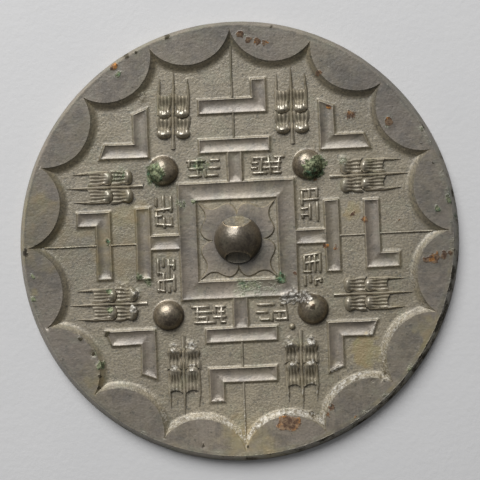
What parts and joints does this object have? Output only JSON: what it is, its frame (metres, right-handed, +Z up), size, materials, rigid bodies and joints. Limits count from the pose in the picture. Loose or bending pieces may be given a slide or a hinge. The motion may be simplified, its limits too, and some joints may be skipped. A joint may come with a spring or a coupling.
{
  "type": "ancient bronze mirror",
  "caption": "Round cast bronze mirror lying face down, its back with a pierced domed knob, a square frame, T, L and V marks, leaf sprays, round bosses and a rim of linked arcs.",
  "frame": {"origin": "centre of the polished face, on the surface that the mirror lies on", "axes": "+Z up out of the decorated back, +Y toward one straight side of the square frame along the cord hole, +X to the right of it"},
  "size_m": [0.138, 0.138, 0.0095],
  "materials": {
    "bronze": "aged high-tin bronze, olive-grey ground, worn dark raised parts, green and rust spots"
  },
  "bodies": {
    "root": {"mirror": "bronze"}
  },
  "joints": []
}
